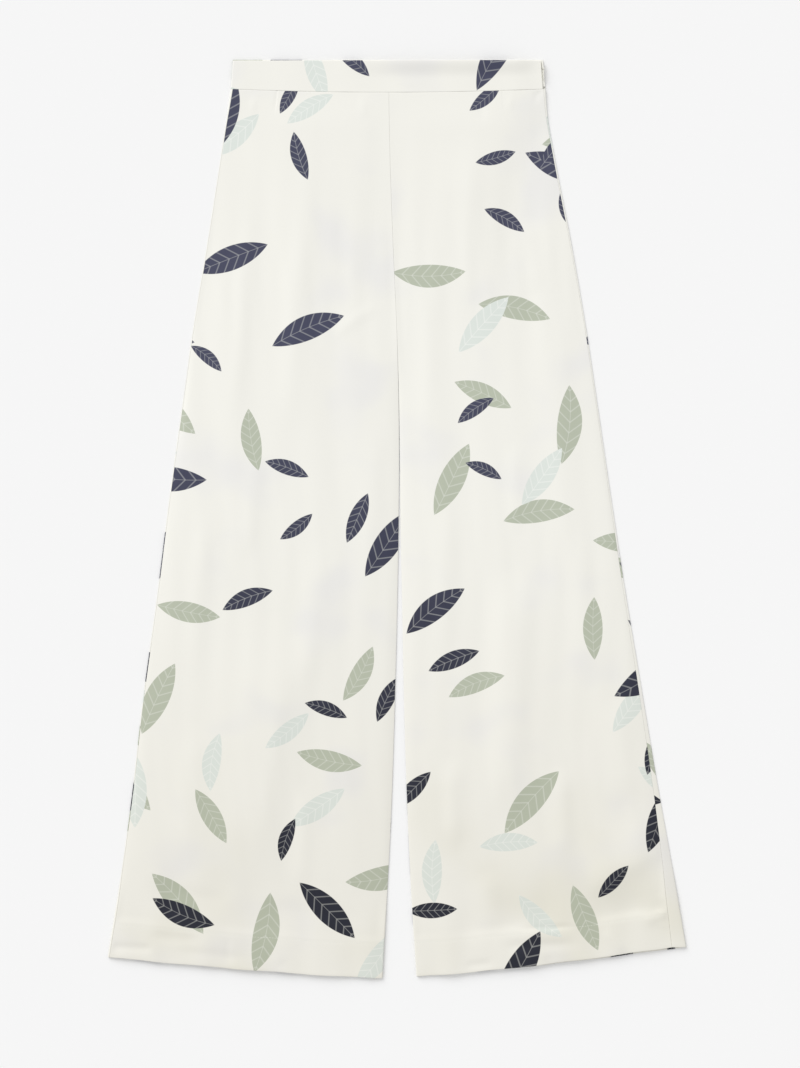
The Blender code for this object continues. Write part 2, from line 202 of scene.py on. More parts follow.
FOLDS = {
    Leg.RIGHT: (
        Crease((-0.099, 0.433), (-0.135, 0.033), 0.024, 0.0009),
        Crease((-0.173, 0.373), (-0.214, -0.127), 0.026, 0.0007),
        Crease((-0.119, -0.110), (-0.180, -0.447), 0.031, 0.0032, gentler=1.3),
        Crease((-0.062, -0.227), (-0.066, -0.487), 0.026, 0.0008),
    ),
    Leg.LEFT: (
        Crease((0.084, 0.453), (0.101, 0.153), 0.024, 0.0008),
        Crease((0.163, 0.293), (0.195, -0.107), 0.024, 0.0007),
        Crease((0.134, -0.045), (0.126, -0.360), 0.020, 0.0018),
        Crease((0.205, -0.428), (0.318, -0.367), 0.026, 0.0022),
    ),
}
FRONT_CREASES = {
    Leg.RIGHT: (
        Crease((-0.1250, -0.150), (-0.1740, -0.430), 0.015, 0.0005, gentler=2.4),
        Crease((-0.3300, -0.4905), (-0.2800, -0.4930), 0.0045, -0.0011, fade=0.15),
        Crease((-0.1955, -0.4780), (-0.1935, -0.5125), 0.0030, -0.0006),
        Crease((-0.2620, -0.4940), (-0.1650, -0.5050), 0.006, -0.0007),
        Crease((-0.1165, 0.335), (-0.1230, 0.085), 0.013, 0.0010, bow=0.004),
        Crease((-0.1774, 0.345), (-0.1870, 0.115), 0.009, 0.0007, bow=-0.003),
        Crease((-0.0560, 0.440), (-0.0500, 0.240), 0.011, 0.0004),
        Crease((-0.0224, 0.120), (-0.0260, -0.060), 0.013, 0.0007, bow=0.003),
        Crease((-0.1600, 0.090), (-0.1720, -0.050), 0.011, 0.0010),
        Crease((-0.2150, 0.020), (-0.2350, -0.200), 0.012, 0.0008, bow=0.006),
        Crease((-0.0900, -0.020), (-0.1050, -0.200), 0.015, 0.0012, bow=-0.005),
        Crease((-0.2250, -0.230), (-0.2400, -0.400), 0.018, 0.0012, bow=0.006),
        Crease((-0.1050, -0.300), (-0.1120, -0.440), 0.012, 0.0014),
        Crease((-0.2950, -0.418), (-0.1900, -0.440), 0.012, -0.0014, bow=0.004, gentler=1.2),
        Crease((-0.1750, -0.448), (-0.0300, -0.462), 0.012, -0.0010, bow=-0.003, gentler=1.0),
        Crease((-0.2900, -0.478), (-0.2200, -0.484), 0.006, -0.0007),
        Crease((-0.1500, -0.480), (-0.1300, -0.512), 0.006, 0.0007),
        Crease((-0.0200, 0.245), (-0.0750, 0.205), 0.007, 0.0005, bow=0.004),
    ),
    Leg.LEFT: (
        Crease((0.1200, -0.350), (0.1280, -0.055), 0.016, 0.0015, gentler=1.5, fade=0.2),
        Crease((0.3150, -0.3690), (0.2050, -0.4280), 0.014, 0.0015, gentler=2.0),
        Crease((0.2985, -0.4300), (0.3120, -0.4420), 0.0028, 0.0005),
        Crease((0.2950, -0.4480), (0.3125, -0.4560), 0.0026, 0.0005),
        Crease((0.2990, -0.4650), (0.3130, -0.4680), 0.0024, 0.0004),
        Crease((0.1350, -0.4705), (0.2080, -0.4665), 0.0040, -0.0010),
        Crease((0.1150, -0.4905), (0.2120, -0.4870), 0.0060, -0.0013),
        Crease((0.0750, -0.5130), (0.1120, -0.5085), 0.0045, -0.0009),
        Crease((0.0832, 0.440), (0.0800, 0.210), 0.019, 0.0014, bow=0.004, gentler=1.3),
        Crease((0.1520, 0.350), (0.1600, 0.255), 0.010, 0.0007),
        Crease((0.0300, 0.300), (0.0330, 0.060), 0.012, 0.0005, bow=-0.003),
        Crease((0.1330, 0.090), (0.1380, -0.020), 0.009, 0.0008),
        Crease((0.0550, 0.020), (0.0600, -0.160), 0.014, 0.0010, bow=0.005),
        Crease((0.2020, -0.010), (0.2200, -0.200), 0.013, 0.0010, bow=-0.004),
        Crease((0.0626, -0.270), (0.0660, -0.385), 0.011, 0.0015),
        Crease((0.1890, -0.280), (0.1930, -0.400), 0.012, 0.0015, bow=0.003),
        Crease((0.2500, -0.200), (0.2700, -0.330), 0.016, 0.0014, bow=0.004),
        Crease((0.1050, -0.400), (0.1120, -0.480), 0.014, 0.0012),
        Crease((0.2950, -0.440), (0.2100, -0.458), 0.010, -0.0014, gentler=0.8),
        Crease((0.1900, -0.448), (0.0500, -0.470), 0.013, -0.0014, bow=-0.004, gentler=1.0),
        Crease((0.2780, -0.462), (0.3160, -0.452), 0.007, 0.0010),
        Crease((0.2350, -0.470), (0.2620, -0.500), 0.006, 0.0008),
        Crease((0.1500, -0.482), (0.1750, -0.508), 0.006, 0.0008),
    ),
}
WAIST_PUCKERS = {
    Leg.RIGHT: (
        Crease((-0.1640, 0.4900), (-0.1660, 0.4600), 0.0040, 0.0004, fade=0.5),
        Crease((-0.0400, 0.4880), (-0.0380, 0.4550), 0.0050, 0.0004, fade=0.5),
    ),
    Leg.LEFT: (
        Crease((0.1668, 0.4925), (0.1575, 0.4830), 0.0022, -0.0006, fade=0.5),
        Crease((0.1560, 0.4930), (0.1610, 0.4740), 0.0030, -0.0005, fade=0.5),
        Crease((0.0950, 0.4900), (0.0980, 0.4500), 0.0060, -0.0006, fade=0.5),
        Crease((0.1300, 0.4910), (0.1290, 0.4640), 0.0040, 0.0004, fade=0.5),
    ),
}
BACK_CREASES = {
    Leg.RIGHT: (
        Crease((-0.0900, 0.420), (-0.1200, 0.080), 0.016, 0.0007, bow=0.004),
        Crease((-0.1500, 0.250), (-0.1900, -0.100), 0.014, 0.0006),
        Crease((-0.0300, 0.200), (-0.1100, 0.150), 0.009, 0.0005, bow=0.005),
        Crease((-0.1150, -0.040), (-0.1600, -0.420), 0.020, 0.0011, bow=-0.006),
        Crease((-0.0600, -0.180), (-0.0700, -0.440), 0.014, 0.0007),
        Crease((-0.2300, -0.160), (-0.2600, -0.410), 0.016, 0.0008, bow=0.005),
    ),
    Leg.LEFT: (
        Crease((0.0800, 0.430), (0.1000, 0.120), 0.017, 0.0007, bow=-0.004),
        Crease((0.1450, 0.220), (0.1750, -0.120), 0.013, 0.0006),
        Crease((0.0250, 0.210), (0.0950, 0.165), 0.009, 0.0005, bow=-0.004),
        Crease((0.1200, -0.060), (0.1350, -0.400), 0.020, 0.0011, bow=0.006),
        Crease((0.0600, -0.240), (0.0650, -0.450), 0.013, 0.0007),
        Crease((0.2200, -0.120), (0.2650, -0.400), 0.016, 0.0008, bow=-0.005),
    ),
}
RIPPLES = (
    Ripple(0.047, 0.00026, 0.10, 0.4, 0.61),
    Ripple(0.031, 0.00016, -0.06, 2.1, 0.43),
    Ripple(0.073, 0.00034, 0.04, 4.0, 0.87),
    Ripple(0.019, 0.00005, 0.12, 1.2, 0.29),
)


QUARTERS = np.linspace(0, 1, 5)
FOLD_ANGLES = math.pi * np.arange(1, 8) / 8


@dataclass(frozen=True)
class Rows:
    """The rows of a panel, from its waist seam down to the fold of its hem and back up its turn-up."""

    share: Array  # of the length down to the fold line
    past: Array  # distance past the fold line
    inward: Array  # distance in from the outer layer
    hem_inward: Array  # the part of that distance that the hem's fold gives
    shift: Array  # what the curl into the waist seam takes up
    cut: Array  # distance past the fold line on the flat cut


@dataclass(frozen=True)
class Form:
    """The trousers' sizes and the form in which they lie, as the frame has them."""

    satin: float = 0.0003  # a layer of satin as built here
    layer: float = 0.0006  # from one layer's middle to the next, closer than the frame's walls are
    hem_layer: float = 0.0009  # the same in the turned-up hem
    closed: float = 0.00006  # between two panels where they are sewn together
    band_wall: float = 0.0016  # the frame's wall of the doubled waistband
    band_fold: float = 0.00035  # radius of the fold at the waistband's top edge
    seam: float = 0.0003  # between pieces that are sewn or pressed together
    centre_groove: float = 0.00014  # radius of the cloth's edge where it turns into a seam
    side_groove: Point = (0.00010, 0.00024)  # above the hems, and beside them where the seam puckers
    waist_groove: float = 0.00028
    band_top: float = 0.5269
    back_proud: float = 0.0010  # how far the back waistband stands above the front's
    waist_y: float = 0.4932
    waist_dip: float = 0.0040
    band_right_x: Point = (-0.1911, -0.1889)
    band_back_left_x: Point = (0.1699, 0.1671)
    band_front_left_x: Point = (0.1667, 0.1646)
    band_crown: float = 0.0010
    band_settle: float = 0.0010  # how far the front waistband sinks where it ends at the zip
    settle_reach: float = 0.035
    turn_up: float = 0.040
    hem_curve: float = 1.27
    zip_tape: float = 0.0006
    zip_rise: float = 0.0004
    waist_ease: Point = (0.25, 0.050)  # over which a front comes down from the band: its middle, its side
    waist_side: Point = (0.45, 1.0)  # where across a leg the first of those turns into the second
    relief_ease: float = 0.045
    zip_ease: Point = (0.19, 0.25)
    hem_ease: Point = (0.895, 0.950)
    edge_ease: float = 0.14
    zip_side_ease: Point = (0.78, 0.90)
    crown: float = 0.0011
    pillow_height: float = 0.0022
    pillow_reach: float = 0.008
    pillow_grows: Point = (0.04, 0.40)
    pillow_sinks: Point = (0.88, 0.96)
    pillow_at_hem: float = 0.5
    legs_part: Point = (0.27, 0.35)
    right_roll: float = 0.0006
    hem_step: float = 0.0009  # how far the front steps up onto the turned-up hem
    hem_sag: Point = (0.9500, 0.9630)  # where the front's sag above its hem ends
    sag_waves: Point = (41.0, 1.9)  # number and phase of the sag's uneven places along X
    hem_waver: float = 0.0004
    hem_waves: float = 23.0
    right_hem_y: Point = (-0.5028, -0.5269)  # of the hem's fold, at the side and at the inseam
    left_hem_y: Point = (-0.4913, -0.5246)
    stitch_inset: float = 0.0020  # from the turn-up's edge to its stitching
    stitch_sink: float = 0.00010
    stitch_reach: float = 0.0014  # share of the length over which the stitching pulls the cloth in

    @property
    def length(self) -> float:
        """Length of a leg from the waist seam to the hem at the side."""
        return self.waist_y - self.right_hem_y[0]

    def section(self, share: Array) -> dict[str, Array]:
        """The outline at any shares of the length, on smooth curves through its sections.

        Args:
            share: shares of the length.

        Returns:
            A value for each field of Section.
        """
        names = list(Section.__dataclass_fields__)
        table = np.array([[getattr(row, name) for name in names] for row in OUTLINE])
        slopes = np.gradient(table, table[:, 0], axis=0)
        row = np.clip(np.searchsorted(table[:, 0], share, side="right") - 1, 0, len(table) - 2)
        span = table[row + 1, 0] - table[row, 0]
        part = (share - table[row, 0]) / span
        found = {}
        for column, name in enumerate(names):
            first, last = table[row, column], table[row + 1, column]
            leave, arrive = slopes[row, column] * span, slopes[row + 1, column] * span
            start = first * (1 + 2 * part) * (1 - part) ** 2 + leave * part * (1 - part) ** 2
            found[name] = start + last * part**2 * (3 - 2 * part) - arrive * part**2 * (1 - part)
        return found

    def edges(self, leg: Leg, share: Array) -> tuple[Array, Array, Array]:
        """A leg's inner edge, its outermost x at the side, and how far its side seam has rolled in."""
        section = self.section(share)
        if leg is Leg.LEFT:
            return section["left_inner"] + self.closed / 2, section["left_side"], section["left_roll"]
        return section["right_inner"] - self.closed / 2, section["right_side"], self.right_roll + 0 * share

    def waist_seam_y(self, x: Array) -> Array:
        """The waist seam, which dips towards the centre front."""
        half = (self.band_back_left_x[0] - self.band_right_x[0]) / 2
        off_centre = (x - self.band_right_x[0] - half) / half
        return self.waist_y - self.waist_dip * (1 - off_centre**2)

    def band_underside(self, x: Array) -> Array:
        """Height of the underside of the front waistband."""
        run = self.band_front_left_x[0] - self.band_right_x[0]
        share = np.clip((x - self.band_right_x[0]) / run, 0.0, 1.0)
        over_back = self.band_wall + self.seam
        level = mix(over_back, over_back + self.zip_tape + self.seam, share)
        return level + self.band_crown * np.sin(math.pi * share)

    def band_middle(self, x: Array) -> Array:
        """Height of the middle of the front waistband, which sinks towards the zip."""
        at_zip = ease(1 - (self.band_front_left_x[0] - x) / self.settle_reach)
        return self.band_underside(x) + self.band_wall / 2 - self.band_settle * at_zip

    def pillow(self, leg: Leg, x: Array, share: Array) -> Array:
        """How far a front stands up: quickly off its pressed edges, and level between them."""
        inner, side, _ = self.edges(leg, share)
        parted = ease_over(share, self.legs_part)
        off_side = 1 - np.exp(-np.abs(side - x) / self.pillow_reach)
        off_inner = 1 - parted * np.exp(-np.abs(x - inner) / self.pillow_reach)
        grown = ease_over(share, self.pillow_grows)
        sunk = ease_over(share, self.pillow_sinks)
        return self.pillow_height * off_side * off_inner * grown * mix(1, self.pillow_at_hem, sunk)

    def edge_top(self, leg: Leg, across: Array | float, share: Array) -> Array:
        """Height of the outside of a front without its relief, from the waist seam to the hem."""
        near_side = ease_over(across, self.zip_side_ease)
        over_zip = ease((self.zip_ease[1] - share) / (self.zip_ease[1] - self.zip_ease[0]))
        level = self.layer + self.satin + (self.zip_rise * near_side * over_zip if leg is Leg.LEFT else 0.0)
        inner, side, _ = self.edges(leg, 0 * share)
        at_band = self.band_middle(mix(inner, side, across)) + self.satin / 2 + self.band_fold
        comes_down = mix(*self.waist_ease, ease_over(across, self.waist_side))
        level = mix(level, at_band, ease(1 - share / comes_down))
        stacked = ease_over(share, self.hem_ease)
        return level + 2 * self.hem_layer * stacked

    def wrap_centre(self, leg: Leg, share: Array) -> Array:
        """The x of the axis that the back's cloth turns about at the side edge."""
        return self.edges(leg, share)[1] - leg.outwards * self.edge_top(leg, 1.0, share) / 2

    def seam_x(self, leg: Leg, share: Array) -> Array:
        """The x of the side seam on the front."""
        return self.wrap_centre(leg, share) - leg.outwards * self.edges(leg, share)[2]

    def inner_radius(self, leg: Leg, share: Array) -> Array:
        """Radius of the edge at the centre or inseam: a groove above the crotch, half the stack below it."""
        stack = (self.edge_top(leg, 0.0, share) - self.satin - self.seam) / 2
        return mix(self.centre_groove, stack, ease((share - self.legs_part[0] + 0.02) / 0.03))

    def side_radius(self, share: Array) -> Array:
        """Radius of the cloth's edge where it turns into the side seam."""
        return mix(*self.side_groove, ease((share - 0.87) / 0.06))

    def hem_groove(self, share: Array) -> Array:
        """How far the stitching pulls a leg's cloth in along the top of its hem."""
        at_stitches = 1 - (self.turn_up - self.stitch_inset) / self.length
        return self.stitch_sink * np.exp(-(((share - at_stitches) / self.stitch_reach) ** 2))

    def front_top(self, leg: Leg, x: Array, y: Array, share: Array) -> Array:
        """Height of the outside of a leg's front with its relief.

        Args:
            leg: the leg.
            x: places along X.
            y: places along Y.
            share: their shares of the length.

        Returns:
            Heights above the surface.
        """
        inner = self.edges(leg, share)[0]
        across = np.clip((x - inner) / (self.seam_x(leg, share) - inner), 0.0, 1.0)
        near_edge = ease(across / self.edge_ease) * ease((1 - across) / self.edge_ease)
        folds = sum(fold.rise(x, y) for fold in FOLDS[leg]) + self.crown * np.sin(math.pi * across)
        off_edge = ease(across / 0.03) * ease((1 - across) / 0.02)
        small = sum(crease.rise(x, y) for crease in (*FRONT_CREASES[leg], *RIPPLES))
        relief = near_edge * folds + off_edge * small + self.pillow(leg, x, share)
        relief = relief * (1 - ease(1 - share / self.relief_ease))
        relief = relief + sum(pucker.rise(x, y) for pucker in WAIST_PUCKERS[leg])
        before_step = ease((share - self.hem_ease[0]) / 0.05) * (1 - ease_over(share, self.hem_sag))
        uneven = 0.6 + 0.4 * np.sin(self.sag_waves[0] * x + self.sag_waves[1])
        sag = self.hem_step * before_step * uneven * off_edge
        return self.edge_top(leg, across, share) + relief - sag - self.hem_groove(share)

    def length_y(self, leg: Leg, across: Array, top_x: Array, share: Array) -> Array:
        """The y at a share of the length, on the line that starts at top_x on the waist seam."""
        hem_ends = self.right_hem_y if leg is Leg.RIGHT else self.left_hem_y
        hem = mix(*hem_ends, 1 - across**self.hem_curve) + (self.hem_layer + self.satin) / 2
        wave = np.sin(self.hem_waves * across + leg.outwards)
        hem = hem + self.hem_waver * wave * ease(across / 0.05) * ease((1 - across) / 0.05)
        top = self.waist_seam_y(top_x) - (self.closed + self.satin) / 2
        return mix(top, hem, share)

    def rows(self, body_rows: int) -> Rows:
        """The rows of a leg panel.

        Args:
            body_rows: how many there are between the waist seam and the hem.

        Returns:
            The rows, each value with a column axis of its own.
        """
        arc = self.waist_groove * math.pi / 2
        groove = arc * QUARTERS / self.length
        turned = 1 - self.turn_up / self.length
        body = np.linspace(0.0042, turned - 0.006, body_rows)
        step = np.linspace(turned - 0.005, turned + 0.006, 14)
        band = np.linspace(turned + 0.008, 1.0, 12)
        down = np.concatenate([groove, [0.0018, 0.0029], body, step, band])
        angle = FOLD_ANGLES
        up = np.linspace(1.0, turned, 8)
        radius = self.hem_layer / 2
        share = np.concatenate([down, np.ones_like(angle), up])
        past = np.concatenate([0 * down, radius * np.sin(angle), 0 * up])
        folded = np.concatenate([0 * down, radius * (1 - np.cos(angle)), 2 * radius + 0 * up])
        cut = np.concatenate([0 * down, radius * angle, radius * math.pi + (1 - up) * self.length])
        inset, drop = curl(share * self.length, self.waist_groove)
        return Rows(*(values[:, None] for values in (
            share, past, folded + drop, folded, (share * self.length - inset) * (1 - share), cut
        )))


# --- Cloth ----------------------------------------------------------------------------------------------


CURL_STEPS = np.array([0.0, 0.2, 0.4, 0.6, 0.8, 1.0])
BESIDE_CURL = np.array([0.0007, 0.0020, 0.0045])


def edge_columns(radius: Array, margin: Array | float) -> tuple[Array, Array, Array]:
    """The columns beside a long edge of a panel that curls into its seam.

    Args:
        radius: radius of the curl in each row.
        margin: from the panel's boundary to the cloth's middle in each row.

    Returns:
        How far in from the boundary each column lies, how far it drops, and how far in it is on the flat cut.
    """
    arc = radius * math.pi / 2
    along = np.concatenate([arc * CURL_STEPS, arc + BESIDE_CURL], axis=1)
    inset, drop = curl(along, radius)
    off = margin + inset
    return off, drop, off[:, -1:] - along[:, -1:] + along


@dataclass
class Lay:
    """A cut piece as it lies: its middle surface, and the same points on the flat cut."""

    x: Array
    y: Array
    z: Array
    cut_x: Array
    cut_y: Array

    def cut_area(self) -> float:
        """Area of the flat cut."""
        rise_x, rise_y = np.diff(self.cut_x, axis=0), np.diff(self.cut_y, axis=0)
        run_x, run_y = np.diff(self.cut_x, axis=1), np.diff(self.cut_y, axis=1)
        return float(np.abs(run_x[:-1] * rise_y[:, :-1] - run_y[:-1] * rise_x[:, :-1]).sum())

    def cut_size(self) -> Point:
        """Width and length of the flat cut."""
        return float(np.ptp(self.cut_x)), float(np.ptp(self.cut_y))

    def shell(self, name: str, wall: float, print_at: Point, satin: bpy.types.Material) -> bpy.types.Object:
        """Makes the piece as a shell of cloth.

        Args:
            name: the object's name.
            wall: the cloth's thickness.
            print_at: where on the printed cloth the piece was cut.
            satin: the cloth's material.

        Returns:
            The shell, with its flat cut as a UV map in metres.
        """
        form = bmesh.new()
        rows, columns = self.x.shape
        bmesh.ops.create_grid(form, x_segments=columns - 1, y_segments=rows - 1, size=1)
        places = np.stack([self.x, self.y, self.z], axis=-1).reshape(-1, 3)
        for vertex, place in zip(form.verts, places):
            vertex.co = place
        cut = np.stack([self.cut_x + print_at[0], self.cut_y + print_at[1]], axis=-1).reshape(-1, 2)
        layer = form.loops.layers.uv.new(CUT_MAP)
        form.verts.index_update()
        for face in form.faces:
            for loop in face.loops:
                loop[layer].uv = cut[loop.vert.index]
        piece = add_piece(name, form, satin)
        thicken = piece.modifiers.new("cloth", "SOLIDIFY")
        thicken.thickness = wall
        thicken.offset = 0
        thicken.use_even_offset = True
        return piece


def add_piece(name: str, form: bmesh.types.BMesh, material: bpy.types.Material) -> bpy.types.Object:
    """Puts a finished shape into the scene, at the origin and smooth.

    Args:
        name: the object's name.
        form: the shape, which is used up.
        material: its finish.

    Returns:
        The new object.
    """
    mesh = bpy.data.meshes.new(name)
    form.to_mesh(mesh)
    form.free()
    mesh.materials.append(material)
    mesh.shade_smooth()
    piece = bpy.data.objects.new(name, mesh)
    bpy.context.scene.collection.objects.link(piece)
    return piece


def triangle_count(piece: bpy.types.Object) -> int:
    """How many triangles a piece has as shown."""
    shown = piece.evaluated_get(bpy.context.evaluated_depsgraph_get()).to_mesh()
    shown.calc_loop_triangles()
    return len(shown.loop_triangles)


def report(piece: bpy.types.Object, lay: Lay | None = None) -> None:
    """Logs a finished piece and, for cloth, its flat cut."""
    log.info("%s: %d triangles", piece.name, triangle_count(piece))
    if lay:
        log.info("%s: cut %.3f x %.3f m, %.4f square metres", piece.name, *lay.cut_size(), lay.cut_area())


# --- Shader nodes ---------------------------------------------------------------------------------------


class Signal:
    """A value in a material. Python's operators on it add the Math nodes that work the result out."""

    def __init__(self, desk: "NodeDesk", socket: bpy.types.NodeSocket) -> None:
        """Wraps an output socket."""
        self.desk = desk
        self.socket = socket

    def _math(self, operation: str, *values: "Signal | float", clamp: bool = False) -> "Signal":
        """Adds one Math node."""
        settings = {"operation": operation, "use_clamp": clamp}
        return self.desk.signal("ShaderNodeMath", settings, dict(enumerate(values)))

    def __add__(self, other: "Signal | float") -> "Signal":
        """The sum."""
        return self._math("ADD", self, other)

    def __radd__(self, other: float) -> "Signal":
        """The sum, with the number first."""
        return self._math("ADD", other, self)

    def __sub__(self, other: "Signal | float") -> "Signal":
        """The difference."""
        return self._math("SUBTRACT", self, other)

    def __rsub__(self, other: float) -> "Signal":
        """The difference, with the number first."""
        return self._math("SUBTRACT", other, self)

    def __mul__(self, other: "Signal | float") -> "Signal":
        """The product."""
        return self._math("MULTIPLY", self, other)

    def __rmul__(self, other: float) -> "Signal":
        """The product, with the number first."""
        return self._math("MULTIPLY", other, self)

    def __truediv__(self, other: "Signal | float") -> "Signal":
        """The quotient."""
        return self._math("DIVIDE", self, other)

    def __abs__(self) -> "Signal":
        """The size without its sign."""
        return self._math("ABSOLUTE", self)

    def clamped(self) -> "Signal":
        """The value held between 0 and 1."""
        return self._math("ADD", self, 0.0, clamp=True)

    def eased(self) -> "Signal":
        """A smooth step of the value from 0 to 1."""
        held = self.clamped()
        return held * held * (3 - 2 * held)

    def below(self, limit: float) -> "Signal":
        """1 where the value is less than the limit, else 0."""
        return self._math("LESS_THAN", self, limit)

    def root(self) -> "Signal":
        """The square root."""
        return self._math("SQRT", self)

    def sin(self) -> "Signal":
        """The sine."""
        return self._math("SINE", self)

    def cos(self) -> "Signal":
        """The cosine."""
        return self._math("COSINE", self)


class NodeDesk:
    """A material in the making, and the one place where its nodes are added."""

    def __init__(self, name: str) -> None:
        """Starts an empty material."""
        self.material = bpy.data.materials.new(name)
        self.material.use_nodes = True
        self.tree = self.material.node_tree
        self.tree.nodes.clear()

    def node(self, kind: str, settings: dict[str, Any], sockets: dict[str | int, Any]) -> bpy.types.Node:
        """Adds a node.

        Args:
            kind: the node's type.
            settings: its own properties, which are set first.
            sockets: a value or a link for each input, by name or number.

        Returns:
            The node.
        """
        made = self.tree.nodes.new(kind)
        for name, value in settings.items():
            setattr(made, name, value)
        for key, value in sockets.items():
            if isinstance(value, Signal):
                value = value.socket
            if isinstance(value, bpy.types.NodeSocket):
                self.tree.links.new(value, made.inputs[key])
            else:
                made.inputs[key].default_value = value
        return made

    def signal(self, kind: str, settings: dict[str, Any], sockets: dict[str | int, Any]) -> Signal:
        """Adds a node and gives its first output."""
        return Signal(self, self.node(kind, settings, sockets).outputs[0])

    def blend(self, share: Signal | float, first: Any, last: Any) -> bpy.types.NodeSocket:
        """Mixes two colours, each a socket or three numbers."""
        first, last = (c if isinstance(c, bpy.types.NodeSocket) else (*c, 1.0) for c in (first, last))
        settings = {"data_type": "RGBA", "clamp_factor": True}
        return self.node("ShaderNodeMix", settings, {0: share, 6: first, 7: last}).outputs[2]

    def vector(self, operation: str, *values: Any) -> bpy.types.NodeSocket:
        """Adds one Vector Math node."""
        return self.node("ShaderNodeVectorMath", {"operation": operation}, dict(enumerate(values))).outputs[0]

    def scaled(self, vector: bpy.types.NodeSocket, by: Signal | float) -> bpy.types.NodeSocket:
        """A vector made longer or shorter."""
        return self.node("ShaderNodeVectorMath", {"operation": "SCALE"}, {0: vector, "Scale": by}).outputs[0]

    def split(self, vector: bpy.types.NodeSocket) -> tuple[Signal, Signal, Signal]:
        """The three parts of a vector."""
        parts = self.node("ShaderNodeSeparateXYZ", {}, {0: vector}).outputs
        return Signal(self, parts[0]), Signal(self, parts[1]), Signal(self, parts[2])

    def join(self, x: Any, y: Any, z: Any) -> bpy.types.NodeSocket:
        """A vector of three parts."""
        return self.node("ShaderNodeCombineXYZ", {}, {0: x, 1: y, 2: z}).outputs[0]

    def place(self) -> bpy.types.NodeSocket:
        """The place on the object."""
        return self.node("ShaderNodeTexCoord", {}, {}).outputs["Object"]

    def cut(self) -> bpy.types.NodeSocket:
        """The place on the piece's flat cut, in metres."""
        return self.node("ShaderNodeUVMap", {"uv_map": CUT_MAP}, {}).outputs[0]

    def bump(self, height: Signal) -> bpy.types.NodeSocket:
        """A normal that a height in metres roughens."""
        sockets = {"Strength": 1.0, "Distance": 1.0, "Height": height}
        return self.node("ShaderNodeBump", {}, sockets).outputs[0]

    def noise(self, at: bpy.types.NodeSocket, scale: float, detail: float = 2.0) -> Signal:
        """Soft noise from 0 to 1."""
        return self.signal("ShaderNodeTexNoise", {}, {"Vector": at, "Scale": scale, "Detail": detail})

    def finish(self, sockets: dict[str, Any]) -> bpy.types.Material:
        """Ends the material with a Principled shader.

        Args:
            sockets: what its inputs are set to or linked from.

        Returns:
            The material.
        """
        shader = self.node("ShaderNodeBsdfPrincipled", {}, sockets)
        self.node("ShaderNodeOutputMaterial", {}, {"Surface": shader.outputs[0]})
        return self.material


# --- Finishes -------------------------------------------------------------------------------------------


@dataclass(frozen=True)
class Leaves:
    """One scatter of pointed leaves, in some of the cells of a square grid that is turned on the cloth."""

    seed: float
    cell: float  # side of a cell, metres
    turn: float  # of the grid, radians
    filled: float  # share of the cells that hold a leaf
    colour: Colour
    veins: float  # strength of the veins
    half_length: float = 0.46  # as a share of the cell, as the half width is
    half_width: float = 0.145
    smaller: float = 0.30  # how much smaller the smallest leaf is
    bend: float = 0.55
    midrib: float = 0.0006  # half its width, metres

    def coverage(self, desk: NodeDesk, cloth: bpy.types.NodeSocket) -> tuple[Signal, Signal]:
        """Places the leaves on the cloth.

        Args:
            desk: the material's desk.
            cloth: a place on the cloth, in metres.

        Returns:
            The distance inside the leaf's outline in metres, and a mask of its veins.
        """
        turned = desk.node(
            "ShaderNodeVectorRotate", {"rotation_type": "Z_AXIS"}, {"Vector": cloth, "Angle": self.turn}
        ).outputs[0]
        start = (self.seed * 0.37, self.seed * 0.61, self.seed)
        placed = desk.vector("ADD", desk.scaled(turned, 1 / self.cell), start)
        cell = desk.vector("FLOOR", placed)
        chance = desk.node("ShaderNodeTexWhiteNoise", {"noise_dimensions": "3D"}, {"Vector": cell})
        angle = Signal(desk, chance.outputs["Value"]) * (40 * math.pi)
        size_lot, bend_lot, filled_lot = desk.split(chance.outputs["Color"])
        x, y, _ = desk.split(desk.vector("SUBTRACT", desk.vector("SUBTRACT", placed, cell), (0.5, 0.5, 0.0)))
        size = 1 - self.smaller * size_lot
        along = (x * angle.cos() + y * angle.sin()) / size
        aside = abs((y * angle.cos() - x * angle.sin()) / size - (bend_lot - 0.5) * self.bend * along * along)
        arc = (self.half_length**2 + self.half_width**2) / (2 * self.half_width)
        off_centre = aside + (arc - self.half_width)
        inside = (arc - (along * along + off_centre * off_centre).root()) * size * self.cell
        inside = inside - 10 * (1 - filled_lot.below(self.filled))
        midrib = (1 - aside * (self.cell / self.midrib)).clamped()
        side_vein = ((along * 52 - aside * 46).sin() * 6 - 4.8).clamped() * 0.7
        return inside, (midrib + side_vein).clamped() * self.veins


